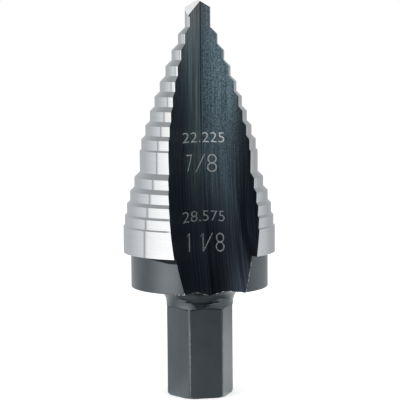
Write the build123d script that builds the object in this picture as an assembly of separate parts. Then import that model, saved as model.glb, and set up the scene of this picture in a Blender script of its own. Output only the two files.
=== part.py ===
from build123d import *
from math import cos, radians, sin, sqrt, tan
import os

os.makedirs("parts", exist_ok=True)

# A step drill: one bar of tool steel with a hexagonal shank, a plain collar,
# a cone of ground steps and one straight flute.
# Millimetres. The origin is the centre of the shank's end face, +Z points to
# the tip, and one flat of the shank faces -Y. Turns are given in degrees from
# -Y towards +X, so they are seen the same way from the front.

# Driving sizes of the cutting end: 3/16 in, 7/8 in and 1-1/8 in
PILOT_D = 4.7625
MIDDLE_D = 22.225
LARGEST_D = 28.575
POINT_ANGLE_DEG = 118.0

# How much each stage widens in its last cut, and how its other cuts shrink
MIDDLE_LAST_CUT = 0.67
MIDDLE_STEPS = 8
MIDDLE_SHRINK = 0.60
LARGEST_LAST_CUT = 0.54
LARGEST_STEPS = 4
LARGEST_SHRINK = 0.41

# Lengths of the lands; each pair is joined by a 45 degree step
PILOT_LAND = 3.68
PLAIN_LAND = 1.775
MIDDLE_LAND = 3.92
LARGEST_LAND = 4.87

# Collar, neck and shank, which is 7/16 in across its flats
SHANK_LENGTH = 20.58
SHANK_ACROSS_FLATS = 11.1125
SHANK_ROUND_D = 12.6
SHANK_CHAMFER = 0.35
NECK_FILLET = 3.2
COLLAR_D = 25.8
COLLAR_HEIGHT = 6.61
COLLAR_ROUND = 0.2
FLAT_TOP = 17.15
FLAT_CUTTER_D = 25.4

# Flute: two arcs that meet in a sharp root, ground by a wheel that rides out
FLUTE_TURN_DEG = 1.6
FLUTE_ROOT_OUT = 0.255
FLUTE_ROOT_ASIDE = 0.367
FLUTE_WALL_R = 15.7
FLUTE_WALL_OFFSET = 6.346
FLUTE_STRAIGHT_FROM = 48.05
WHEEL_R = 62.0
WHEEL_SWEEP_DEG = 50.0

# The point's relief and the small flat ground on the rake face behind the lip
RELIEF_TURN_DEG = -33.4
RELIEF_SLOPE_DEG = 49.6
RELIEF_DROP = 0.33
GASH_TURN_DEG = 22.7
GASH_FLOOR_DEG = 26.6
GASH_DEPTH = 4.4


def outward(turn):
    """Unit direction in the XY plane at a turn from -Y."""
    return Vector(sin(radians(turn)), -cos(radians(turn)), 0)


def stage_cuts(start_d, end_d, last_cut, count, shrink):
    """Diameters after each cut of a stage; the cuts shrink evenly."""
    mean_cut = (end_d - last_cut - start_d) / count
    first_cut = mean_cut * 2 / (1 + shrink)
    diameters = []
    d = start_d
    for k in range(count):
        share = k / max(count - 1, 1)
        d += first_cut * (1 - (1 - shrink) * share)
        diameters.append(d)
    return diameters + [end_d]


def lands():
    """(diameter, length) of every land, from the pilot down to the largest."""
    rows = [(PILOT_D, PILOT_LAND)]
    middle = stage_cuts(PILOT_D, MIDDLE_D, MIDDLE_LAST_CUT, MIDDLE_STEPS, MIDDLE_SHRINK)
    rows += [(d, PLAIN_LAND) for d in middle[:-1]]
    rows.append((MIDDLE_D, MIDDLE_LAND))
    largest = stage_cuts(MIDDLE_D, LARGEST_D, LARGEST_LAST_CUT, LARGEST_STEPS, LARGEST_SHRINK)
    rows += [(d, PLAIN_LAND) for d in largest[:-1]]
    rows.append((LARGEST_D, LARGEST_LAND))
    return rows


def cone_outline():
    """Points (radius, height) from the collar's top up to the tip."""
    points = []
    z = SHANK_LENGTH + COLLAR_HEIGHT
    below = None
    for d, length in reversed(lands()):
        r = d / 2
        if below is not None:
            z += below - r
        points.append((r, z))
        z += length
        points.append((r, z))
        below = r
    z += PILOT_D / 2 / tan(radians(POINT_ANGLE_DEG / 2))
    points.append((0, z))
    return points


TIP_Z = cone_outline()[-1][1]


def turned_blank():
    """The bar as it leaves the lathe: shank, neck, collar and stepped cone."""
    shank_r = SHANK_ROUND_D / 2
    collar_r = COLLAR_D / 2
    neck_z = SHANK_LENGTH - NECK_FILLET
    collar_top = (collar_r, SHANK_LENGTH + COLLAR_HEIGHT)
    neck_centre = (shank_r + NECK_FILLET, neck_z)
    rim_centre = (collar_r - COLLAR_ROUND, SHANK_LENGTH + COLLAR_ROUND)
    with BuildSketch(Plane.XZ) as outline:
        with BuildLine():
            Polyline(
                (0, 0),
                (shank_r - SHANK_CHAMFER, 0),
                (shank_r, SHANK_CHAMFER),
                (shank_r, neck_z),
            )
            CenterArc(neck_centre, NECK_FILLET, 90, 90)
            Line((neck_centre[0], SHANK_LENGTH), (rim_centre[0], SHANK_LENGTH))
            CenterArc(rim_centre, COLLAR_ROUND, -90, 90)
            Line((collar_r, rim_centre[1]), collar_top)
            Polyline(collar_top, *cone_outline())
            Line((0, TIP_Z), (0, 0))
        make_face()
    return revolve(outline.sketch, axis=Axis.Z)


def shank_flats():
    """Six flats, each run out at its top on the radius of the end mill."""
    cutter_r = FLAT_CUTTER_D / 2
    cuts = []
    for k in range(6):
        normal = outward(360 / 6 * k)
        across = Vector(0, 0, -1).cross(normal)
        face = Plane(normal * (SHANK_ACROSS_FLATS / 2), x_dir=-across, z_dir=normal)
        with BuildSketch(face) as path:
            with Locations((0, FLAT_TOP - cutter_r)):
                Circle(cutter_r)
                Rectangle(FLAT_CUTTER_D, FLAT_TOP, align=(Align.CENTER, Align.MAX))
        cuts.append(extrude(path.sketch, amount=SHANK_ROUND_D / 4))
    return cuts


def flute_plane(z):
    """Plane across the flute at a height, its x running out from the root."""
    out = outward(FLUTE_TURN_DEG)
    aside = Vector(0, 0, 1).cross(out)
    root = out * FLUTE_ROOT_OUT + aside * FLUTE_ROOT_ASIDE + Vector(0, 0, z)
    return Plane(root, x_dir=out, z_dir=(0, 0, 1))


def flute():
    """The flute: straight along the cone, then out on the wheel's radius."""
    plane = flute_plane(FLUTE_STRAIGHT_FROM)
    reach = sqrt(FLUTE_WALL_R**2 - FLUTE_WALL_OFFSET**2)
    half_width = FLUTE_WALL_R - FLUTE_WALL_OFFSET
    outside = reach + LARGEST_D / 2
    with BuildSketch(plane) as section:
        with BuildLine():
            RadiusArc((reach, -half_width), (0, 0), FLUTE_WALL_R)
            RadiusArc((0, 0), (reach, half_width), FLUTE_WALL_R)
            Polyline(
                (reach, half_width),
                (outside, half_width),
                (outside, -half_width),
                (reach, -half_width),
            )
        make_face()
    straight = extrude(section.sketch, amount=TIP_Z)
    wheel_axis = Axis(plane.origin + plane.x_dir * WHEEL_R, -plane.y_dir)
    run_out = revolve(section.sketch, axis=wheel_axis, revolution_arc=WHEEL_SWEEP_DEG)
    return [straight, run_out]


def point_relief():
    """Block above the relief, a plane that crosses the axis just below the tip."""
    down = outward(RELIEF_TURN_DEG)
    slope = radians(RELIEF_SLOPE_DEG)
    normal = down * sin(slope) + Vector(0, 0, cos(slope))
    size = PILOT_D * 4
    block = Box(size, size, size, align=(Align.CENTER, Align.CENTER, Align.MIN))
    return Plane(Vector(0, 0, TIP_Z - RELIEF_DROP), z_dir=normal) * block


def lip_gash():
    """A flat on the rake face behind the lip, from the root out to the land."""
    width = PILOT_D * 0.7
    rise = width * tan(radians(GASH_TURN_DEG))
    with BuildSketch(flute_plane(FLUTE_STRAIGHT_FROM)) as wedge:
        with BuildLine():
            Polyline((0, 0), (rise, -width), (width * 2, -width), (width * 2, 0), close=True)
        make_face()
    block = extrude(wedge.sketch, amount=TIP_Z)
    root = flute_plane(TIP_Z - GASH_DEPTH)
    floor_normal = Vector(0, 0, 1) + root.y_dir * tan(radians(GASH_FLOOR_DEG))
    return split(block, bisect_by=Plane(root.origin, z_dir=floor_normal), keep=Keep.TOP)


def step_drill():
    """The whole drill, ground from the turned blank."""
    body = turned_blank()
    body -= shank_flats()
    body -= flute()
    body -= point_relief()
    body -= lip_gash()
    return body


part = step_drill()
export_step(part, "parts/step_drill.step")
box = part.bounding_box()
print("solids", len(part.solids()), "volume", round(part.volume, 1), "valid", part.is_valid)
print("low", [round(v, 3) for v in box.min], "high", [round(v, 3) for v in box.max])
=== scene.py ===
from math import cos, pi, radians, sin, sqrt, tan

import bpy
from mathutils import Matrix, Vector, noise


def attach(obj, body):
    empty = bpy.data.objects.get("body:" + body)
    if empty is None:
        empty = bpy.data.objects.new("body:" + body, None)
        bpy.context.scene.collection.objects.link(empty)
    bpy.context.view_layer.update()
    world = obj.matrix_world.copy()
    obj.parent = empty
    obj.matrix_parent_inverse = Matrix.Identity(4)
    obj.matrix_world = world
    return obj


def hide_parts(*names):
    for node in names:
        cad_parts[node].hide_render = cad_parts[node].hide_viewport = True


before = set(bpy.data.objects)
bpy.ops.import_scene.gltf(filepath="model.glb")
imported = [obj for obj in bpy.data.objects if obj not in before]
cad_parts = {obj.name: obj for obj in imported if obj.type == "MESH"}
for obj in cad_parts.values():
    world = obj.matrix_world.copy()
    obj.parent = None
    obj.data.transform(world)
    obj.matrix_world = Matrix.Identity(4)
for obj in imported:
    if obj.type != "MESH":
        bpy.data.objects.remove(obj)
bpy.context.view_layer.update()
scene = bpy.context.scene
MM = 0.001


# The camera stands at bench height a forearm's length away, a little to the
# left of the flat that faces -Y, so the flute opens towards its right.
CAMERA_TURN = radians(-11.6)
CAMERA_DISTANCE = 294.8 * MM
CAMERA_HEIGHT = 63.83 * MM
CAMERA_TILT = radians(5.24)
CAMERA_ROLL = radians(-0.435)
CAMERA_LENS = 141.5
CAMERA_SHIFT = 0.0026

camera_data = bpy.data.cameras.new("camera")
camera_data.lens = CAMERA_LENS
camera_data.shift_x = CAMERA_SHIFT
camera_data.clip_start = 0.01
camera_data.clip_end = 20
camera = bpy.data.objects.new("camera", camera_data)
scene.collection.objects.link(camera)
camera_place = Vector((sin(CAMERA_TURN), -cos(CAMERA_TURN), 0)) * CAMERA_DISTANCE
camera_place.z = CAMERA_HEIGHT
camera.matrix_world = (
    Matrix.Translation(camera_place)
    @ Matrix.Rotation(CAMERA_TURN, 4, "Z")
    @ Matrix.Rotation(radians(90) - CAMERA_TILT, 4, "X")
    @ Matrix.Rotation(CAMERA_ROLL, 4, "Z")
)
scene.camera = camera


# The blank: the drill as it leaves the lathe and the grinder, one bar of tool
# steel with its shank, collar and stepped cone, before the flats and the
# flute are cut into it. The cone is ground bright and the rest is blackened.
SIDES = 360
PILOT_R = 4.7625 / 2 * MM
MIDDLE_R = 22.225 / 2 * MM
LARGEST_R = 28.575 / 2 * MM
SHANK_R = 12.6 / 2 * MM
COLLAR_R = 25.8 / 2 * MM
COLLAR_FOOT = 20.58 * MM
COLLAR_TOP = 27.19 * MM
NECK_FILLET = 3.2 * MM
COLLAR_ROUND = 0.2 * MM
FLAT_TOP = 17.15 * MM
MILL_R = 12.7 * MM
END_CHAMFER = 0.35 * MM
LAND = 1.775 * MM
PILOT_LAND = 3.68 * MM
MIDDLE_LAND = 3.92 * MM
LARGEST_LAND = 4.87 * MM
MIDDLE_STEPS = 8
MIDDLE_SHRINK = 0.60
MIDDLE_LAST_CUT = 0.335 * MM
LARGEST_STEPS = 4
LARGEST_SHRINK = 0.41
LARGEST_LAST_CUT = 0.27 * MM
POINT_HALF_ANGLE = radians(59)


def arc_points(centre_r, centre_z, radius, start, end, count):
    """Points (radius, height) along an arc of the blank's outline."""
    turns = [start + (end - start) * k / count for k in range(count + 1)]
    return [(centre_r + radius * cos(t), centre_z + radius * sin(t)) for t in turns]


def stage_radii(start, end, last_cut, count, shrink):
    """Radii after each cut of a stage; its cuts shrink evenly, and one small cut ends it."""
    first_cut = (end - last_cut - start) / count * 2 / (1 + shrink)
    radii = [start]
    for k in range(count):
        radii.append(radii[-1] + first_cut * (1 - (1 - shrink) * k / (count - 1)))
    return radii[1:] + [end]


def blank_outline():
    """Rings (radius, height) of the blank from the shank's end to the point's base."""
    rings = [(SHANK_R - END_CHAMFER, 0), (SHANK_R, END_CHAMFER)]
    neck_r = SHANK_R + NECK_FILLET
    rings += arc_points(neck_r, COLLAR_FOOT - NECK_FILLET, NECK_FILLET, pi, pi / 2, 24)
    rim_r = COLLAR_R - COLLAR_ROUND
    rings += arc_points(rim_r, COLLAR_FOOT + COLLAR_ROUND, COLLAR_ROUND, -pi / 2, 0, 6)
    rings.append((COLLAR_R, COLLAR_TOP))
    lands = [(PILOT_R, PILOT_LAND)]
    middle = stage_radii(PILOT_R, MIDDLE_R, MIDDLE_LAST_CUT, MIDDLE_STEPS, MIDDLE_SHRINK)
    lands += [(r, LAND) for r in middle[:-1]] + [(MIDDLE_R, MIDDLE_LAND)]
    largest = stage_radii(MIDDLE_R, LARGEST_R, LARGEST_LAST_CUT, LARGEST_STEPS, LARGEST_SHRINK)
    lands += [(r, LAND) for r in largest[:-1]] + [(LARGEST_R, LARGEST_LAND)]
    z = COLLAR_TOP
    last_r = LARGEST_R
    for r, length in reversed(lands):
        z += last_r - r
        rings.append((r, z))
        z += length
        rings.append((r, z))
        last_r = r
    return rings


def new_material(name, metallic):
    """A metal or paint, and its shader."""
    material = bpy.data.materials.new(name)
    material.use_nodes = True
    shader = material.node_tree.nodes["Principled BSDF"]
    shader.inputs["Metallic"].default_value = metallic
    return material, shader


def add(tree, kind, settings=None, **values):
    """A node with its settings and the values of its named inputs."""
    node = tree.nodes.new(kind)
    for name, value in (settings or {}).items():
        setattr(node, name, value)
    for name, value in values.items():
        node.inputs[name.replace("_", " ")].default_value = value
    return node


def math_node(tree, operation, first, second=None):
    """A Math node; each side is a socket or a number."""
    node = tree.nodes.new("ShaderNodeMath")
    node.operation = operation
    for k, side in enumerate((first, second)):
        if hasattr(side, "links"):
            tree.links.new(side, node.inputs[k])
        elif side is not None:
            node.inputs[k].default_value = side
    return node.outputs[0]


def product(tree, *factors):
    """Sockets and numbers multiplied together."""
    result = factors[0]
    for factor in factors[1:]:
        result = math_node(tree, "MULTIPLY", result, factor)
    return result


def total(tree, *terms):
    """Sockets and numbers added together."""
    result = terms[0]
    for term in terms[1:]:
        result = math_node(tree, "ADD", result, term)
    return result


def minus(tree, first, second):
    """One socket or number less another."""
    return math_node(tree, "SUBTRACT", first, second)


def off_axis(tree, split):
    """The distance from the drill's axis."""
    squares = [math_node(tree, "POWER", split.outputs[name], 2) for name in "XY"]
    return math_node(tree, "SQRT", total(tree, *squares))


def noise_on(tree, coordinates, scale, detail, roughness):
    """Noise over a piece, from its coordinates."""
    grain = add(tree, "ShaderNodeTexNoise", Scale=scale, Detail=detail, Roughness=roughness)
    tree.links.new(coordinates, grain.inputs["Vector"])
    return grain.outputs["Fac"]


def map_range(tree, value, from_min, from_max, to_min, to_max, kind="LINEAR"):
    """A Map Range node on a socket."""
    node = tree.nodes.new("ShaderNodeMapRange")
    node.interpolation_type = kind
    tree.links.new(value, node.inputs["Value"])
    for name, number in zip(
        ("From Min", "From Max", "To Min", "To Max"), (from_min, from_max, to_min, to_max)
    ):
        node.inputs[name].default_value = number
    return node.outputs["Result"]


def ramp(tree, value, stops):
    """A Color Ramp on a socket; stops are (position, color)."""
    node = tree.nodes.new("ShaderNodeValToRGB")
    tree.links.new(value, node.inputs["Fac"])
    elements = node.color_ramp.elements
    while len(elements) < len(stops):
        elements.new(0.5)
    for element, (at, color) in zip(elements, stops):
        element.position = at
        element.color = (*color, 1)
    return node.outputs["Color"]


def scaled(tree, color, by):
    """A color made lighter or darker by a factor."""
    node = add(tree, "ShaderNodeVectorMath", {"operation": "SCALE"})
    tree.links.new(color, node.inputs[0])
    tree.links.new(by, node.inputs["Scale"])
    return node.outputs[0]


def tinted(tree, color, by_color):
    """A color multiplied by another one."""
    node = add(tree, "ShaderNodeVectorMath", {"operation": "MULTIPLY"})
    tree.links.new(color, node.inputs[0])
    tree.links.new(by_color, node.inputs[1])
    return node.outputs[0]


# Fine lines that run round the axis, as a turning or grinding tool leaves them.
lathe_lines = bpy.data.node_groups.new("lathe_lines", "ShaderNodeTree")
for name in ("Lines per Metre", "Waver"):
    lathe_lines.interface.new_socket(name, in_out="INPUT", socket_type="NodeSocketFloat")
lathe_lines.interface.new_socket("Lines", in_out="OUTPUT", socket_type="NodeSocketFloat")
group_in = add(lathe_lines, "NodeGroupInput")
group_out = add(lathe_lines, "NodeGroupOutput")
coordinates = add(lathe_lines, "ShaderNodeTexCoord")
split = add(lathe_lines, "ShaderNodeSeparateXYZ")
lathe_lines.links.new(coordinates.outputs["Object"], split.inputs[0])
turned = add(lathe_lines, "ShaderNodeCombineXYZ")
for name, along, spacing in (
    ("X", split.outputs["X"], "Waver"),
    ("Y", off_axis(lathe_lines, split), "Lines per Metre"),
    ("Z", split.outputs["Z"], "Lines per Metre"),
):
    lathe_lines.links.new(
        product(lathe_lines, along, group_in.outputs[spacing]), turned.inputs[name]
    )
lines = noise_on(lathe_lines, turned.outputs[0], 1, 3, 0.6)
lathe_lines.links.new(map_range(lathe_lines, lines, 0.3, 0.7, 0, 1), group_out.inputs["Lines"])


def lathe_lines_on(tree, per_metre, waver):
    """The group of fine lines, placed in a finish."""
    group = add(tree, "ShaderNodeGroup", {"node_tree": lathe_lines})
    group.inputs["Lines per Metre"].default_value = per_metre
    group.inputs["Waver"].default_value = waver
    return group.outputs["Lines"]


def bumped(tree, shader, height, strength, depth):
    """A height that the finish's normal follows."""
    bump = add(tree, "ShaderNodeBump", Strength=strength, Distance=depth)
    tree.links.new(height, bump.inputs["Height"])
    tree.links.new(bump.outputs["Normal"], shader.inputs["Normal"])


# Bright ground steel: a clean mirror with a trace of the wheel's fine lines.
ground_steel, shader = new_material("ground_steel", 1)
tree = ground_steel.node_tree
lines = lathe_lines_on(tree, 9000, 60)
wide = lathe_lines_on(tree, 1600, 150)
bright = ramp(tree, wide, [(0, (0.568, 0.573, 0.580)), (1, (0.600, 0.604, 0.609))])
tree.links.new(bright, shader.inputs["Base Color"])
tree.links.new(map_range(tree, lines, 0, 1, 0.045, 0.085), shader.inputs["Roughness"])
bumped(tree, shader, lines, 0.12, 0.002 * MM)

# Black oxide on turned steel: satin and a little blue, cloudy where oil dried.
# It is rubbed through to a paler grey on the shank's corners, along the side
# of each that leads as the drill turns.
RUBBED_TO = 11.8 * MM
RUB_GONE_AT = 15.2 * MM
# where the painted dark reflection lies in the neck's hollow: its turn, edge, dip and waver
PAINTED_REFLECTION_TURN = radians(-11.6)
PAINTED_REFLECTION_EDGE = 18.75 * MM
PAINTED_REFLECTION_DIP = 1.5 * MM
PAINTED_REFLECTION_DIP_FLAT = 0.8 * MM
PAINTED_REFLECTION_DIP_REACH = 1.35 * MM
PAINTED_REFLECTION_WAVER = 0.5 * MM

black_oxide, shader = new_material("black_oxide", 1)
tree = black_oxide.node_tree
coordinates = add(tree, "ShaderNodeTexCoord")
split = add(tree, "ShaderNodeSeparateXYZ")
tree.links.new(coordinates.outputs["Object"], split.inputs[0])
level = split.outputs["Z"]
radius = off_axis(tree, split)
cloud = noise_on(tree, coordinates.outputs["Object"], 260, 3, 0.55)
grit = noise_on(tree, coordinates.outputs["Object"], 4200, 2, 0.6)
lines = lathe_lines_on(tree, 4500, 90)
bands = lathe_lines_on(tree, 2100, 330)
# the way along each flat from its middle, to the right seen from outside
sixth = math_node(tree, "ARCTAN2", split.outputs["Y"], split.outputs["X"])
sixth = math_node(tree, "FLOORED_MODULO", total(tree, sixth, pi / 3), pi / 3)
over_flat = product(tree, radius, math_node(tree, "SINE", minus(tree, sixth, pi / 6)))
rubbed = product(
    tree,
    map_range(tree, radius, SHANK_R - 0.04 * MM, SHANK_R - 0.005 * MM, 0, 1),
    math_node(tree, "LESS_THAN", over_flat, 0),
    map_range(tree, level, RUBBED_TO, RUB_GONE_AT, 1, 0),
    map_range(tree, grit, 0.38, 0.6, 0.1, 1),
)
oxide = ramp(tree, cloud, [(0.3, (0.050, 0.0630, 0.0705)), (0.7, (0.066, 0.0790, 0.0885))])
finish = add(tree, "ShaderNodeMix", {"data_type": "RGBA"})
tree.links.new(rubbed, finish.inputs["Factor"])
tree.links.new(oxide, finish.inputs["A"])
finish.inputs["B"].default_value = (0.21, 0.23, 0.235, 1)
shader.inputs["Coat Roughness"].default_value = 0.22
shader.inputs["Coat IOR"].default_value = 1.5

# a painted dark reflection of the darker room in front, in the neck's hollow on the side of the
# flute: its edge dips in the middle and is darkest, and the lathe's lines make its edge waver
faced = add(tree, "ShaderNodeMapping", Rotation=(0, 0, -PAINTED_REFLECTION_TURN))
tree.links.new(coordinates.outputs["Object"], faced.inputs["Vector"])
faced_split = add(tree, "ShaderNodeSeparateXYZ")
tree.links.new(faced.outputs["Vector"], faced_split.inputs[0])
sideways = faced_split.outputs["X"]
in_front = map_range(tree, faced_split.outputs["Y"], -1 * MM, 0, 1, 0)
beside = math_node(
    tree, "MAXIMUM", product(tree, sideways, -1), product(tree, sideways, 0.83)
)
dip = math_node(tree, "DIVIDE", minus(tree, beside, PAINTED_REFLECTION_DIP_FLAT), -PAINTED_REFLECTION_DIP_REACH)
dip = product(tree, math_node(tree, "EXPONENT", dip), -PAINTED_REFLECTION_DIP)
reflection_waver = map_range(tree, bands, 0, 1, -PAINTED_REFLECTION_WAVER, PAINTED_REFLECTION_WAVER)
above_edge = total(tree, minus(tree, level, total(tree, dip, PAINTED_REFLECTION_EDGE)), reflection_waver)
painted_reflection_band = product(
    tree,
    map_range(tree, above_edge, -0.05 * MM, 0.12 * MM, 0, 1, "SMOOTHSTEP"),
    map_range(tree, level, FLAT_TOP + 0.05 * MM, FLAT_TOP + 0.35 * MM, 0.5, 1, "SMOOTHSTEP"),
)
from_rim = math_node(tree, "MINIMUM", above_edge, minus(tree, level, FLAT_TOP + 0.55 * MM))
inside = map_range(tree, from_rim, 0.28 * MM, 0.78 * MM, 0, 1, "SMOOTHSTEP")
off_middle = map_range(tree, beside, 0.6 * MM, 2.0 * MM, 0, 1)
depth = total(
    tree,
    product(tree, minus(tree, 1, inside), map_range(tree, off_middle, 0, 1, 0.88, 0.98)),
    product(tree, inside, map_range(tree, off_middle, 0, 1, 0.40, 0.72)),
)
depth = product(tree, depth, map_range(tree, bands, 0.1, 0.8, 0.6, 1.0))
painted_dark_front = product(tree, map_range(tree, beside, 3.6 * MM, 5.0 * MM, 1, 0), in_front)
below_collar = map_range(tree, level, COLLAR_FOOT - 0.13 * MM, COLLAR_FOOT - 0.01 * MM, 1, 0)
off_flat = map_range(tree, radius, SHANK_R - 0.03 * MM, SHANK_R - 0.01 * MM, 0, 1)
on_flat = minus(tree, 1, off_flat)
painted_dark_reflection = product(tree, painted_reflection_band, depth, painted_dark_front, below_collar, off_flat)

# painted shade in the corner where each flat runs out, deeper on the front
arch = minus(tree, MILL_R**2, math_node(tree, "POWER", over_flat, 2))
arch = total(tree, math_node(tree, "SQRT", arch), FLAT_TOP - MILL_R)
painted_crevice_shade = product(
    tree,
    map_range(tree, minus(tree, arch, level), 0, 0.5 * MM, 1, 0, "SMOOTHSTEP"),
    on_flat,
    map_range(tree, painted_dark_front, 0, 1, 0.35, 0.8),
)

# a painted shadow under the largest land's overhang, next to the flute
shade_from = map_range(
    tree, sideways, -10 * MM, -5.5 * MM, COLLAR_TOP - 0.31 * MM, COLLAR_TOP - 1.09 * MM
)
painted_overhang_shadow = product(
    tree,
    map_range(tree, minus(tree, level, shade_from), 0, 0.2 * MM, 0, 0.88, "SMOOTHSTEP"),
    in_front,
    map_range(tree, sideways, -4 * MM, -3 * MM, 1, 0),
)

# a painted highlight: each flat is a little lighter along its left
painted_flat_highlight = product(tree, map_range(tree, over_flat, -2.9 * MM, 0.6 * MM, 0.28, 0), on_flat)
painted_flat_highlight = total(tree, painted_flat_highlight, 1)
# the painted dark reflection, crevice shade and overhang shadow darken the colour and the coat,
# and the painted highlight lightens the flats
left_by_painted_shade = product(tree, *[minus(tree, 1, dark) for dark in (painted_dark_reflection, painted_crevice_shade, painted_overhang_shadow)])
tree.links.new(
    scaled(tree, finish.outputs["Result"], product(tree, left_by_painted_shade, painted_flat_highlight)),
    shader.inputs["Base Color"],
)
tree.links.new(product(tree, left_by_painted_shade, 0.85), shader.inputs["Coat Weight"])
tree.links.new(map_range(tree, cloud, 0.3, 0.7, 0.36, 0.44), shader.inputs["Roughness"])
bumped(tree, shader, total(tree, product(tree, lines, 0.5), grit), 0.25, 0.006 * MM)

rings = blank_outline()
tip_z = rings[-1][1] + PILOT_R / tan(POINT_HALF_ANGLE)
bpy.ops.object.select_all(action="DESELECT")
bpy.ops.mesh.primitive_circle_add(
    vertices=SIDES, radius=rings[0][0], fill_type="NGON", location=(0, 0, rings[0][1])
)
drill = bpy.context.object
drill.name = "drill"
drill.data.name = "drill"
bpy.ops.object.mode_set(mode="EDIT")
for (r0, z0), (r1, z1) in zip(rings, rings[1:]):
    bpy.ops.mesh.extrude_region_move(TRANSFORM_OT_translate={"value": (0, 0, z1 - z0)})
    bpy.ops.transform.resize(value=(r1 / r0, r1 / r0, 1), center_override=(0, 0, z1))
bpy.ops.mesh.extrude_region_move(TRANSFORM_OT_translate={"value": (0, 0, tip_z - rings[-1][1])})
bpy.ops.mesh.merge(type="CENTER")
bpy.ops.mesh.select_all(action="SELECT")
bpy.ops.mesh.remove_doubles(threshold=1e-7)
bpy.ops.mesh.normals_make_consistent(inside=False)
bpy.ops.object.mode_set(mode="OBJECT")
drill.data.materials.append(black_oxide)
drill.data.materials.append(ground_steel)
for face in drill.data.polygons:
    face.material_index = 1 if face.center.z > COLLAR_TOP - 1e-6 else 0


def cut(body, cutter):
    """Takes the cutter away from the body, which keeps the cutter's finish there."""
    bpy.ops.object.select_all(action="DESELECT")
    bpy.context.view_layer.objects.active = body
    modifier = body.modifiers.new("cut", "BOOLEAN")
    modifier.operation = "DIFFERENCE"
    modifier.solver = "EXACT"
    modifier.object = cutter
    modifier.material_mode = "TRANSFER"
    bpy.ops.object.modifier_apply(modifier=modifier.name)
    bpy.data.objects.remove(cutter)


# The shank: six flats milled on the round bar. The end mill stops below the
# neck, so each flat ends in an arch and a narrow round strip is left between
# one flat and the next.
ACROSS_FLATS = 11.1125 * MM
MILL_SIDES = 128
MILL_FOOT = -1 * MM
MILL_WIDTH = 3 * MM

for k in range(6):
    bpy.ops.object.select_all(action="DESELECT")
    bpy.ops.mesh.primitive_circle_add(
        vertices=MILL_SIDES,
        radius=MILL_R,
        fill_type="NGON",
        location=(0, -ACROSS_FLATS / 2, FLAT_TOP - MILL_R),
        rotation=(pi / 2, 0, 0),
    )
    mill = bpy.context.object
    bpy.ops.object.transform_apply(location=True, rotation=True, scale=True)
    for vertex in mill.data.vertices:
        if vertex.co.z < FLAT_TOP - MILL_R + 1e-6:
            vertex.co.z = MILL_FOOT
    bpy.ops.object.mode_set(mode="EDIT")
    bpy.ops.mesh.select_all(action="SELECT")
    bpy.ops.mesh.remove_doubles(threshold=1e-7)
    bpy.ops.mesh.dissolve_limited(angle_limit=radians(0.1))
    bpy.ops.mesh.select_all(action="SELECT")
    bpy.ops.mesh.extrude_region_move(TRANSFORM_OT_translate={"value": (0, -MILL_WIDTH, 0)})
    bpy.ops.mesh.select_all(action="SELECT")
    bpy.ops.mesh.normals_make_consistent(inside=False)
    bpy.ops.object.mode_set(mode="OBJECT")
    mill.matrix_world = Matrix.Rotation(radians(60 * k), 4, "Z")
    bpy.ops.object.transform_apply(location=True, rotation=True, scale=True)
    mill.data.materials.append(black_oxide)
    cut(drill, mill)


# The flute: two hollow walls that meet in a sharp root just in front of the
# axis. A wheel grinds it straight along the cone and rides out through the
# collar, and it is blackened over the wheel's long scratches.
FLUTE_TURN = radians(1.6)
FLUTE_ROOT_OUT = 0.255 * MM
FLUTE_ROOT_ASIDE = 0.367 * MM
FLUTE_HALF = 9.35 * MM
WALL_SIDES = 256
WALL_R = 15.7 * MM
WALL_OFFSET = 6.346 * MM
STRAIGHT_FROM = 48.05 * MM
WHEEL_R = 62 * MM
WHEEL_SWEEP = radians(50)
WHEEL_STEPS = 90

flute_steel, shader = new_material("flute_steel", 1)
tree = flute_steel.node_tree
coordinates = add(tree, "ShaderNodeTexCoord")
turned = add(
    tree,
    "ShaderNodeMapping",
    Location=(-FLUTE_ROOT_ASIDE, 0, 0),
    Rotation=(0, 0, -FLUTE_TURN),
)
tree.links.new(coordinates.outputs["Object"], turned.inputs["Vector"])
split = add(tree, "ShaderNodeSeparateXYZ")
tree.links.new(turned.outputs["Vector"], split.inputs[0])
aside = split.outputs["X"]
height = split.outputs["Z"]
# the way along a wall from the root, the same all along the wheel's path
off_root = math_node(tree, "ABSOLUTE", aside)
swing = math_node(tree, "DIVIDE", total(tree, off_root, WALL_OFFSET), WALL_R)
way = product(tree, math_node(tree, "ARCSINE", swing), WALL_R)
wall_side = product(tree, math_node(tree, "SIGN", aside), 0.05)


def streaks(per_metre, per_metre_along, detail):
    """Scratches that run along the flute: noise drawn out along the wheel's path."""
    grain = add(tree, "ShaderNodeCombineXYZ")
    tree.links.new(product(tree, way, per_metre), grain.inputs["X"])
    tree.links.new(product(tree, height, per_metre_along), grain.inputs["Y"])
    tree.links.new(product(tree, wall_side, per_metre), grain.inputs["Z"])
    return noise_on(tree, grain.outputs[0], 1, detail, 0.6)


def up_the_flute(stops, foot=20, head=74):
    """A ramp from the flute's foot to its head; stops are (height in millimetres, color)."""
    share = map_range(tree, height, foot * MM, head * MM, 0, 1)
    return ramp(tree, share, [((z - foot) / (head - foot), color) for z, color in stops])


def greys(table):
    """Stops with plain values, as a ramp takes them."""
    return [(at, (v, v, v)) for at, v in table]


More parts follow.
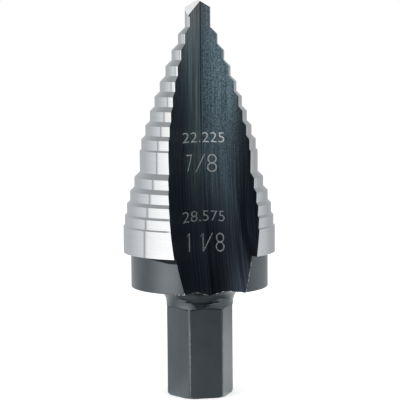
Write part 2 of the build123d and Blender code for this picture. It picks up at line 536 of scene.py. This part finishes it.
CONTRAST = ((20, 0.4), (30, 0.5), (38, 0.9), (44, 1.5), (56, 1.5), (66, 0.8), (74, 0.8))
fine = streaks(4600, 60, 3)
broad = streaks(800, 25, 2)
mottle = noise_on(tree, coordinates.outputs["Object"], 3000, 3, 0.75)
right_wall = map_range(tree, aside, 0, 0.6 * MM, 0, 1)
high_up = map_range(tree, height, 33 * MM, 52 * MM, 0, 1, "SMOOTHSTEP")
mottled = product(tree, right_wall, high_up)
scratched = total(
    tree,
    map_range(tree, fine, 0.35, 0.65, -0.85, 0.85),
    product(
        tree,
        map_range(tree, broad, 0.35, 0.65, -1, 1),
        map_range(tree, right_wall, 0, 1, 0.1, 0.22),
    ),
)
scratched = product(
    tree,
    scratched,
    map_range(tree, mottled, 0, 1, 1, 0.35),
    up_the_flute(greys(CONTRAST)),
    map_range(tree, aside, 4.0 * MM, 6.0 * MM, 1, 1.7),
)
pitted = product(tree, map_range(tree, mottle, 0.35, 0.65, -0.85, 0.85), mottled)
pattern = total(tree, scratched, pitted)
tone = map_range(tree, pattern, -1, 1, 0, 1)

# the oxide is deep where the wheel left, most of all on the right wall next to the root, and
# thins to the right there; the left wall's larger share is painted light, in place of the
# brighter room it mirrors
DEEP_TONES = (
    (0.1, (0.011, 0.0135, 0.018)), (0.5, (0.0256, 0.032, 0.0422)), (0.9, (0.055, 0.068, 0.088)),
)
DEEP_SHARE = (
    (0, 1.0), (0.484, 1.0), (0.516, 0.14), (0.66, 0.20), (0.79, 0.50), (0.87, 0.73),
    (0.93, 0.60), (1, 0.58),
)
across = map_range(tree, aside, -FLUTE_HALF, FLUTE_HALF, 0, 1)
low_down = map_range(tree, height, 22 * MM, 27.5 * MM, 1, 0)
low_gain = product(tree, low_down, map_range(tree, across, 0.6, 0.76, -0.42, 0.44))
low_gain = product(tree, total(tree, low_gain, 1), 3.3)
deep_share = product(tree, ramp(tree, across, greys(DEEP_SHARE)), low_gain)
deep = scaled(tree, ramp(tree, tone, DEEP_TONES), deep_share)

# and it is thinner and paler towards the tip, where it is a plainer grey
PALE_TONES = (
    (0.1, (0.056, 0.083, 0.100)), (0.5, (0.095, 0.140, 0.167)), (0.9, (0.152, 0.220, 0.260)),
)
# the left wall's larger share here is painted light too, highest next to the root, where the two
# walls shade each other
PALE_SHARE = (
    (0, 0.51), (0.286, 0.53), (0.366, 0.865), (0.497, 0.92), (0.503, 0.42), (0.66, 0.38),
    (0.72, 0.40), (0.77, 0.43), (0.84, 0.33), (0.865, 0.25), (0.895, 0.20), (0.925, 0.17),
    (1, 0.15),
)
PAINTED_ROOT_LIGHT = ((38, 0), (46, 0.15), (52, 0.35), (57, 0.35), (61, 0))
TIP_TINT = ((67, (1, 1, 1)), (70.5, (1.11, 0.92, 0.88)))


def wall_tint(at):
    """The left wall is a little greener, and both walls are greyer along their outer edges."""
    if at < 0.3:
        return (1.11, 0.94, 0.91)
    if at < 0.5:
        return (1.05, 0.955, 0.835)
    return (1, 1, 1) if at < 0.8 else (1.06, 0.93, 0.98)


pale_share = ramp(
    tree, across, [(at, tuple(v * part for part in wall_tint(at))) for at, v in PALE_SHARE]
)
near_tip = map_range(tree, height, 56 * MM, 68 * MM, 0, 1)
tip_gain = product(tree, near_tip, map_range(tree, right_wall, 0, 1, -0.16, 0.14))
# painted light on a strip of the left wall along the root, halfway up, where the two walls shade
# each other
painted_root_light = product(
    tree,
    up_the_flute(greys(PAINTED_ROOT_LIGHT)),
    map_range(tree, across, 0.40, 0.445, 0, 1),
    map_range(tree, across, 0.497, 0.503, 1, 0),
)
gain = total(tree, tip_gain, painted_root_light, 1)
pale = scaled(tree, ramp(tree, tone, PALE_TONES), product(tree, gain, 1.75))
pale = tinted(tree, tinted(tree, pale, pale_share), up_the_flute(TIP_TINT))
reach_up = total(tree, height, product(tree, off_root, 0.45))
paler = map_range(tree, reach_up, 29.5 * MM, 47.5 * MM, 0, 1, "SMOOTHSTEP")
oxide = add(tree, "ShaderNodeMix", {"data_type": "RGBA"})
tree.links.new(paler, oxide.inputs["Factor"])
tree.links.new(deep, oxide.inputs["A"])
tree.links.new(pale, oxide.inputs["B"])

# painted shade: the root is a thin dark line, fainter where the wheel left
from_line = math_node(tree, "ABSOLUTE", minus(tree, aside, 0.05 * MM))
root_painted_shade = product(
    tree,
    map_range(tree, from_line, 0.05 * MM, 0.11 * MM, 0.7, 0),
    map_range(tree, paler, 0, 1, 0.2, 1),
)
# and a darker strip runs down the right wall, a little in from its edge
strip_middle = map_range(tree, height, 25 * MM, 32 * MM, 7.2 * MM, 6.35 * MM)
off_strip = math_node(tree, "ABSOLUTE", minus(tree, aside, strip_middle))
strip_dark = product(
    tree,
    map_range(tree, off_strip, 0.2 * MM, 0.85 * MM, 1, 0, "SMOOTHSTEP"),
    map_range(tree, height, 36 * MM, 47 * MM, 0.64, 0.08),
)
lightness = product(tree, minus(tree, 1, root_painted_shade), minus(tree, 1, strip_dark))
tree.links.new(scaled(tree, oxide.outputs["Result"], lightness), shader.inputs["Base Color"])
tree.links.new(map_range(tree, tone, 0, 1, 0.48, 0.34), shader.inputs["Roughness"])
bumped(tree, shader, pattern, 0.3, 0.01 * MM)

flute_place = Matrix.Rotation(FLUTE_TURN - pi / 2, 4, "Z") @ Matrix.Translation(
    (FLUTE_ROOT_OUT, FLUTE_ROOT_ASIDE, 0)
)
wall_reach = sqrt(WALL_R**2 - WALL_OFFSET**2)
outside = wall_reach + LARGEST_R
bpy.ops.object.select_all(action="DESELECT")
bpy.ops.mesh.primitive_circle_add(
    vertices=WALL_SIDES,
    radius=WALL_R,
    fill_type="NGON",
    location=(wall_reach, -WALL_OFFSET, STRAIGHT_FROM),
)
wheel = bpy.context.object
wheel.name = "flute_wheel"
bpy.ops.object.transform_apply(location=True, rotation=True, scale=True)
bpy.ops.object.mode_set(mode="EDIT")
bpy.ops.mesh.select_all(action="SELECT")
bpy.ops.mesh.bisect(
    plane_co=(0, 0, STRAIGHT_FROM), plane_no=(0, 1, 0), clear_inner=True, threshold=1e-7
)
bpy.ops.mesh.select_all(action="SELECT")
bpy.ops.mesh.bisect(
    plane_co=(wall_reach, 0, STRAIGHT_FROM), plane_no=(1, 0, 0), clear_outer=True, threshold=1e-7
)
bpy.ops.object.mode_set(mode="OBJECT")
for edge in wheel.data.edges:
    edge.select = all(abs(wheel.data.vertices[k].co.x - wall_reach) < 1e-7 for k in edge.vertices)
for vertex in wheel.data.vertices:
    vertex.select = abs(vertex.co.x - wall_reach) < 1e-7
for face in wheel.data.polygons:
    face.select = False
bpy.ops.object.mode_set(mode="EDIT")
bpy.ops.mesh.select_mode(type="EDGE")
bpy.ops.mesh.extrude_region_move(
    TRANSFORM_OT_translate={"value": (outside - wall_reach, 0, 0)}
)
bpy.ops.mesh.select_all(action="SELECT")
bpy.ops.mesh.duplicate()
bpy.ops.transform.resize(value=(1, -1, 1), center_override=(0, 0, STRAIGHT_FROM))
bpy.ops.mesh.select_all(action="SELECT")
bpy.ops.mesh.remove_doubles(threshold=1e-7)
bpy.ops.mesh.normals_make_consistent(inside=False)
bpy.ops.mesh.dissolve_limited(angle_limit=radians(0.1))
bpy.ops.mesh.select_all(action="SELECT")
bpy.ops.mesh.spin(
    steps=WHEEL_STEPS,
    angle=WHEEL_SWEEP,
    center=(WHEEL_R, 0, STRAIGHT_FROM),
    axis=(0, 1, 0),
)
bpy.ops.object.mode_set(mode="OBJECT")
for edge in wheel.data.edges:
    edge.select = False
for vertex in wheel.data.vertices:
    vertex.select = False
for face in wheel.data.polygons:
    face.select = abs(face.normal.z) > 0.999 and abs(face.center.z - STRAIGHT_FROM) < 1e-7
bpy.ops.object.mode_set(mode="EDIT")
bpy.ops.mesh.select_mode(type="FACE")
bpy.ops.mesh.extrude_region_move(TRANSFORM_OT_translate={"value": (0, 0, tip_z)})
bpy.ops.mesh.select_all(action="SELECT")
bpy.ops.mesh.remove_doubles(threshold=1e-7)
bpy.ops.mesh.normals_make_consistent(inside=False)
bpy.ops.object.mode_set(mode="OBJECT")
wheel.data.transform(flute_place)
wheel.data.materials.append(flute_steel)
cut(drill, wheel)


# The point: a relief plane ground behind the lip, and a small flat on the rake
# face that sets the lip's edge a little back. The relief is bright, and the
# small flat is blackened like the flute.
RELIEF_TURN = radians(-33.4)
RELIEF_SLOPE = radians(49.6)
RELIEF_DROP = 0.33 * MM
RELIEF_BLOCK = PILOT_R * 8
GASH_TURN = radians(22.7)
GASH_FLOOR = radians(26.6)
GASH_DEPTH = 4.4 * MM
GASH_BLOCK = PILOT_R * 2.8
GASH_ASIDE = -PILOT_R * 0.7

down = Vector((sin(RELIEF_TURN), -cos(RELIEF_TURN), 0))
relief_normal = down * sin(RELIEF_SLOPE) + Vector((0, 0, cos(RELIEF_SLOPE)))
bpy.ops.object.select_all(action="DESELECT")
bpy.ops.mesh.primitive_cube_add(size=RELIEF_BLOCK, location=(0, 0, RELIEF_BLOCK / 2))
relief = bpy.context.object
bpy.ops.object.transform_apply(location=True, rotation=True, scale=True)
relief.matrix_world = (
    Matrix.Translation((0, 0, tip_z - RELIEF_DROP))
    @ relief_normal.to_track_quat("Z", "Y").to_matrix().to_4x4()
)
bpy.ops.object.transform_apply(location=True, rotation=True, scale=True)
relief.data.materials.append(ground_steel)
cut(drill, relief)

# the small flat's wedge: one side on the root, one on the rake, one on its floor
floor_z = tip_z - GASH_DEPTH
bpy.ops.object.select_all(action="DESELECT")
bpy.ops.mesh.primitive_cube_add(
    size=GASH_BLOCK, location=(GASH_BLOCK / 2, GASH_ASIDE, floor_z + GASH_BLOCK / 2)
)
gash = bpy.context.object
bpy.ops.object.transform_apply(location=True, rotation=True, scale=True)
bpy.ops.object.mode_set(mode="EDIT")
for point, normal in (
    ((0, 0, floor_z), (0, 1, 0)),
    ((0, 0, floor_z), (-cos(GASH_TURN), -sin(GASH_TURN), 0)),
    ((0, 0, floor_z), (0, -sin(GASH_FLOOR), -cos(GASH_FLOOR))),
):
    bpy.ops.mesh.select_all(action="SELECT")
    bpy.ops.mesh.bisect(
        plane_co=point, plane_no=normal, use_fill=True, clear_outer=True, threshold=1e-7
    )
bpy.ops.mesh.select_all(action="SELECT")
bpy.ops.mesh.normals_make_consistent(inside=False)
bpy.ops.object.mode_set(mode="OBJECT")
gash.data.transform(flute_place)
gash.data.materials.append(flute_steel)
cut(drill, gash)

bpy.ops.object.select_all(action="DESELECT")
bpy.context.view_layer.objects.active = drill
drill.select_set(True)
bpy.ops.object.shade_smooth_by_angle(angle=radians(20))
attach(drill, "root")
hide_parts("step_drill")


# The burr: the ragged bright edge that the wheel throws up where the flute
# runs out through the collar's foot and into the neck, and on the right up
# the collar's corner too.
BURR_R = 0.045 * MM
BURR_TOP = 21.2 * MM
BURR_JITTER = 0.02 * MM
TEAR_SCALE = 900
TORN_OFF_BELOW = -0.28
RIM_Z = COLLAR_FOOT + COLLAR_ROUND * (1 - sin(pi / 4))
RIM_TURN = radians(-11.6)
RIM_FROM = -4.5 * MM
RIM_TO = -2.7 * MM

burr_steel, shader = new_material("burr_steel", 1)
tree = burr_steel.node_tree
coordinates = add(tree, "ShaderNodeTexCoord")
torn = noise_on(tree, coordinates.outputs["Object"], 1500, 2, 0.6)
tree.links.new(
    ramp(tree, torn, [(0.4, (0.12, 0.125, 0.13)), (0.6, (0.80, 0.81, 0.82))]),
    shader.inputs["Base Color"],
)
tree.links.new(map_range(tree, torn, 0.3, 0.7, 0.45, 0.25), shader.inputs["Roughness"])

flute_index = drill.data.materials.find("flute_steel")
oxide_index = drill.data.materials.find("black_oxide")
finishes = {}
for face in drill.data.polygons:
    for key in face.edge_keys:
        finishes.setdefault(key, set()).add(face.material_index)
for face in drill.data.polygons:
    face.select = False
for vertex in drill.data.vertices:
    vertex.select = False
for edge in drill.data.edges:
    ends = [drill.data.vertices[k].co for k in edge.vertices]
    on_flute = finishes[edge.key] == {flute_index, oxide_index}
    burr_top = COLLAR_TOP if ends[0].x > 0 else BURR_TOP
    low_enough = max(end.z for end in ends) < burr_top + 1e-6
    # a few torn bits lie on the collar's rim too, left of the flute's corner
    along_rim = [end.x * cos(RIM_TURN) + end.y * sin(RIM_TURN) for end in ends]
    on_rim = all(abs(end.z - RIM_Z) < 2e-6 and end.y < 0 for end in ends) and all(
        RIM_FROM < x < RIM_TO for x in along_rim
    )
    left_on = noise.noise((ends[0] + ends[1]) * TEAR_SCALE) > TORN_OFF_BELOW
    edge.select = ((on_flute and low_enough) or on_rim) and left_on
bpy.ops.object.select_all(action="DESELECT")
bpy.context.view_layer.objects.active = drill
drill.select_set(True)
bpy.ops.object.mode_set(mode="EDIT")
bpy.ops.mesh.select_mode(type="EDGE")
bpy.ops.mesh.duplicate()
bpy.ops.mesh.separate(type="SELECTED")
bpy.ops.object.mode_set(mode="OBJECT")
burr = next(piece for piece in bpy.context.selected_objects if piece != drill)
bpy.ops.object.select_all(action="DESELECT")
bpy.context.view_layer.objects.active = burr
burr.select_set(True)
burr.name = "burr"
bpy.ops.object.convert(target="CURVE")
burr.data.bevel_depth = BURR_R
burr.data.bevel_resolution = 1
burr.data.use_fill_caps = True
bpy.ops.object.convert(target="MESH")
bpy.ops.object.mode_set(mode="EDIT")
bpy.ops.mesh.select_all(action="SELECT")
bpy.ops.transform.vertex_random(offset=BURR_JITTER, seed=5)
bpy.ops.mesh.normals_make_consistent(inside=False)
bpy.ops.object.mode_set(mode="OBJECT")
burr.data.materials.clear()
burr.data.materials.append(burr_steel)
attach(burr, "root")


# The size numbers, etched through the oxide on the flute's walls: plain sizes
# of the two long lands, in inches and in millimetres. The etching leaves a
# dull pale line that is brightest at the upper right.
ETCH_LIFT = 0.012 * MM
ETCH_DEPTH = 0.03 * MM
MARKS_TURN = radians(-11.6)
MARKS_OUT = 20 * MM
# each mark's text, its left, right, foot and head in millimetres seen from the
# marks' turn, and the offset of its strokes, which are thinner below zero
MARKS = [
    ("22.225", -2.95, 4.80, 47.70, 49.60, -0.008),
    ("7", -2.25, -1.20, 42.25, 45.50, -0.021),
    ("/", -0.63, 1.20, 42.10, 45.43, -0.021),
    ("8", 1.55, 3.42, 42.12, 45.50, -0.021),
    ("28.575", -3.00, 4.75, 33.05, 35.00, -0.013),
    ("/", -2.30, -1.80, 30.50, 31.05, 0),
    ("1", -1.93, -1.72, 27.80, 31.10, 0),
    ("/", 0.18, 0.70, 30.20, 30.80, 0),
    ("1", 0.62, 0.83, 27.50, 30.80, 0),
    ("/", 0.68, 2.58, 27.55, 30.90, -0.021),
    ("8", 3.04, 4.68, 27.52, 30.95, -0.021),
]

etched_steel, shader = new_material("etched_steel", 0.4)
tree = etched_steel.node_tree
coordinates = add(tree, "ShaderNodeTexCoord")
speckle = noise_on(tree, coordinates.outputs["Object"], 5200, 2, 0.6)
split = add(tree, "ShaderNodeSeparateXYZ")
tree.links.new(coordinates.outputs["Object"], split.inputs[0])
upper_right = product(
    tree,
    map_range(tree, split.outputs["Z"], 46 * MM, 47.5 * MM, 0, 0.2),
    map_range(tree, split.outputs["X"], -3 * MM, 3.5 * MM, 0.15, 1),
)
higher = map_range(tree, split.outputs["Z"], 30 * MM, 45 * MM, -0.1, 0.08)
tree.links.new(
    ramp(
        tree,
        total(tree, speckle, total(tree, higher, upper_right)),
        [(0.25, (0.11, 0.12, 0.12)), (0.7, (0.50, 0.54, 0.53)), (0.9, (0.78, 0.80, 0.76))],
    ),
    shader.inputs["Base Color"],
)
tree.links.new(map_range(tree, speckle, 0.3, 0.7, 0.6, 0.45), shader.inputs["Roughness"])

marks = []
for word, left, right, foot, head, thinner in MARKS:
    bpy.ops.object.select_all(action="DESELECT")
    bpy.ops.object.text_add()
    bpy.context.object.data.body = word
    bpy.context.object.data.offset = thinner
    bpy.ops.object.convert(target="MESH")
    mark = bpy.context.object
    bpy.ops.object.mode_set(mode="EDIT")
    bpy.ops.mesh.select_all(action="SELECT")
    bpy.ops.mesh.remove_doubles(threshold=1e-5)
    bpy.ops.mesh.subdivide(number_cuts=3)
    bpy.ops.object.mode_set(mode="OBJECT")
    lows = [min(v.co[k] for v in mark.data.vertices) for k in range(2)]
    highs = [max(v.co[k] for v in mark.data.vertices) for k in range(2)]
    wide = (right - left) * MM / (highs[0] - lows[0])
    tall = (head - foot) * MM / (highs[1] - lows[1])
    mark.data.transform(
        Matrix.Translation((left * MM, foot * MM, 0))
        @ Matrix.Diagonal((wide, tall, 1, 1))
        @ Matrix.Translation((-lows[0], -lows[1], 0))
    )
    mark.matrix_world = (
        Matrix.Rotation(MARKS_TURN, 4, "Z")
        @ Matrix.Translation((0, -MARKS_OUT, 0))
        @ Matrix.Rotation(pi / 2, 4, "X")
    )
    wrap = mark.modifiers.new("lay", "SHRINKWRAP")
    wrap.target = drill
    wrap.wrap_method = "PROJECT"
    wrap.use_project_z = True
    wrap.use_negative_direction = True
    wrap.use_positive_direction = False
    wrap.offset = ETCH_LIFT
    bpy.ops.object.modifier_apply(modifier=wrap.name)
    solid = mark.modifiers.new("depth", "SOLIDIFY")
    solid.thickness = ETCH_DEPTH
    solid.offset = -1
    bpy.ops.object.modifier_apply(modifier=solid.name)
    bpy.ops.object.transform_apply(location=True, rotation=True, scale=True)
    marks.append(mark)
bpy.ops.object.select_all(action="DESELECT")
for mark in marks:
    mark.select_set(True)
numbers = marks[0]
bpy.context.view_layer.objects.active = numbers
bpy.ops.object.join()
numbers.name = "size_numbers"
numbers.data.materials.clear()
numbers.data.materials.append(etched_steel)
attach(numbers, "root")


# The studio: a white table with the same white behind it, and a large soft lamp on the left. The
# steel mirrors the white wall at its sides, a bright glow on its left face and the darker room in
# front. The glow is a painted reflection that the world and the table give to reflections only,
# in place of the lamp, which is hidden from them.
ROOM_TURN = radians(-11.6)
ROOM_EYE = 30 * MM
TABLE_SIZE = 3
TABLE_GLOW = 0.45
LAMP_PLACE = (-0.55, -0.35, 0.5)
LAMP_SIZE = 0.4
LAMP_POWER = 0.6
LAMP_AIM = 40 * MM
# what the steel mirrors, by the turn from the room's front in degrees: high up,
# near the horizon, on the table a hand away and on it at the drill's foot
HIGH = (
    (-180, 0.48), (-150, 0.46), (-125, 0.50), (-109, 0.50), (-99.5, 0.48), (-96.5, 1.35),
    (-84, 1.45), (-62, 1.75), (-42, 1.50), (-32, 0.50), (-15, 0.26), (30, 0.22), (58, 0.28),
    (80, 0.30), (98, 0.40), (112, 0.42), (132, 0.45), (150, 0.46), (180, 0.48),
)
LOW = (
    (-180, 0.58), (-150, 0.60), (-125, 0.70), (-105, 0.90), (-91.2, 1.05), (-89.2, 0.50),
    (-87.8, 0.50), (-86.2, 1.04), (-82.5, 1.38), (-62, 1.58), (-38, 1.68), (-27, 0.70),
    (-14, 0.38), (30, 0.36), (58, 0.85), (80, 0.85), (92, 0.92), (98, 0.88), (105, 0.82),
    (112, 0.80), (132, 0.58), (150, 0.50), (180, 0.58),
)
CLOSE = (
    (-180, 0.58), (-150, 0.60), (-125, 0.69), (-113, 0.80), (-103, 0.66), (-94, 0.74),
    (-80, 1.25), (-66, 2.4), (-55, 3.1), (-37, 3.0), (-26, 1.2), (-14, 0.41), (30, 0.39),
    (58, 0.62), (80, 0.66), (90, 0.85), (98, 0.85), (112, 0.90), (132, 0.58), (150, 0.50),
    (180, 0.58),
)
FOOT = (
    (-180, 0.86), (-100, 0.76), (-86, 0.86), (-76, 1.25), (-38, 1.3), (-22, 0.75),
    (-10, 0.55), (36, 0.54), (50, 0.95), (78, 1.0), (92, 0.70), (110, 0.80), (130, 0.86),
    (180, 0.88),
)


def room_color(value):
    """The room's colour at a level: white where it is bright, a little blue where it isn't."""
    blue = min(max((1.35 - value) / 0.35, 0), 1)
    return (value * (1 - 0.015 * blue), value * (1 + 0.02 * blue), value * (1 + 0.055 * blue))


studio_glow = bpy.data.node_groups.new("studio_glow", "ShaderNodeTree")
studio_glow.interface.new_socket("Direction", in_out="INPUT", socket_type="NodeSocketVector")
for name in ("Glow", "Close", "Foot"):
    studio_glow.interface.new_socket(name, in_out="OUTPUT", socket_type="NodeSocketColor")
group_in = add(studio_glow, "NodeGroupInput")
group_out = add(studio_glow, "NodeGroupOutput")
facing = add(studio_glow, "ShaderNodeVectorMath", {"operation": "NORMALIZE"})
studio_glow.links.new(group_in.outputs["Direction"], facing.inputs[0])
turned = add(studio_glow, "ShaderNodeVectorRotate", {"rotation_type": "Z_AXIS"}, Angle=-ROOM_TURN)
studio_glow.links.new(facing.outputs[0], turned.inputs["Vector"])
split = add(studio_glow, "ShaderNodeSeparateXYZ")
studio_glow.links.new(turned.outputs[0], split.inputs[0])
toward_front = product(studio_glow, split.outputs["Y"], -1)
turn = math_node(studio_glow, "ARCTAN2", split.outputs["X"], toward_front)
share = map_range(studio_glow, turn, -pi, pi, 0, 1)
high, low, close, foot = (
    ramp(studio_glow, share, [((t + 180) / 360, room_color(v)) for t, v in table])
    for table in (HIGH, LOW, CLOSE, FOOT)
)
climb = map_range(studio_glow, split.outputs["Z"], sin(radians(22)), sin(radians(42)), 0, 1)
glow = add(studio_glow, "ShaderNodeMix", {"data_type": "RGBA"})
studio_glow.links.new(climb, glow.inputs["Factor"])
studio_glow.links.new(low, glow.inputs["A"])
studio_glow.links.new(high, glow.inputs["B"])
studio_glow.links.new(glow.outputs["Result"], group_out.inputs["Glow"])
studio_glow.links.new(close, group_out.inputs["Close"])
studio_glow.links.new(foot, group_out.inputs["Foot"])

bpy.ops.object.select_all(action="DESELECT")
bpy.ops.mesh.primitive_plane_add(size=TABLE_SIZE)
table = bpy.context.object
table.name = "table"
table_paint, shader = new_material("table_paint", 0)
tree = table_paint.node_tree
shader.inputs["Base Color"].default_value = (0.8, 0.8, 0.8, 1)
shader.inputs["Roughness"].default_value = 0.9
shader.inputs["Specular IOR Level"].default_value = 0
light_path = add(tree, "ShaderNodeLightPath")
shader.inputs["Emission Color"].default_value = (1, 1, 1, 1)
tree.links.new(
    product(tree, light_path.outputs["Is Camera Ray"], TABLE_GLOW),
    shader.inputs["Emission Strength"],
)
geometry = add(tree, "ShaderNodeNewGeometry")
from_drill = add(tree, "ShaderNodeVectorMath", {"operation": "SUBTRACT"})
tree.links.new(geometry.outputs["Position"], from_drill.inputs[0])
from_drill.inputs[1].default_value = (0, 0, ROOM_EYE)
mirrored = add(tree, "ShaderNodeGroup", {"node_tree": studio_glow})
tree.links.new(from_drill.outputs[0], mirrored.inputs["Direction"])
spread = add(tree, "ShaderNodeVectorMath", {"operation": "LENGTH"})
tree.links.new(geometry.outputs["Position"], spread.inputs[0])
# the table's own light holds up to the first distance and is gone at the second
top = mirrored.outputs["Glow"]
for name, inside, beyond in (("Close", 185, 225), ("Foot", 50, 110)):
    mix = add(tree, "ShaderNodeMix", {"data_type": "RGBA"})
    tree.links.new(
        map_range(tree, spread.outputs["Value"], inside * MM, beyond * MM, 1, 0, "SMOOTHSTEP"),
        mix.inputs["Factor"],
    )
    tree.links.new(top, mix.inputs["A"])
    tree.links.new(mirrored.outputs[name], mix.inputs["B"])
    top = mix.outputs["Result"]
glow = add(tree, "ShaderNodeEmission")
tree.links.new(top, glow.inputs["Color"])
choice = add(tree, "ShaderNodeMixShader")
tree.links.new(light_path.outputs["Is Glossy Ray"], choice.inputs["Fac"])
tree.links.new(shader.outputs[0], choice.inputs[1])
tree.links.new(glow.outputs[0], choice.inputs[2])
tree.links.new(choice.outputs[0], tree.nodes["Material Output"].inputs["Surface"])
table.data.materials.append(table_paint)

world = bpy.data.worlds.new("studio")
scene.world = world
world.use_nodes = True
tree = world.node_tree
white = tree.nodes["Background"]
white.inputs["Color"].default_value = (1, 1, 1, 1)
light_path = add(tree, "ShaderNodeLightPath")
coordinates = add(tree, "ShaderNodeTexCoord")
mirrored = add(tree, "ShaderNodeGroup", {"node_tree": studio_glow})
tree.links.new(coordinates.outputs["Generated"], mirrored.inputs["Direction"])
glow = add(tree, "ShaderNodeBackground")
tree.links.new(mirrored.outputs["Glow"], glow.inputs["Color"])
choice = add(tree, "ShaderNodeMixShader")
tree.links.new(light_path.outputs["Is Glossy Ray"], choice.inputs["Fac"])
tree.links.new(white.outputs[0], choice.inputs[1])
tree.links.new(glow.outputs[0], choice.inputs[2])
tree.links.new(choice.outputs[0], tree.nodes["World Output"].inputs["Surface"])

bpy.ops.object.select_all(action="DESELECT")
bpy.ops.object.light_add(type="AREA", location=LAMP_PLACE)
lamp = bpy.context.object
lamp.data.shape = "SQUARE"
lamp.data.size = LAMP_SIZE
lamp.data.energy = LAMP_POWER
lamp.visible_glossy = False
aim = Vector((0, 0, LAMP_AIM)) - lamp.location
lamp.rotation_euler = aim.to_track_quat("-Z", "Y").to_euler()
scene.view_settings.view_transform = "Standard"
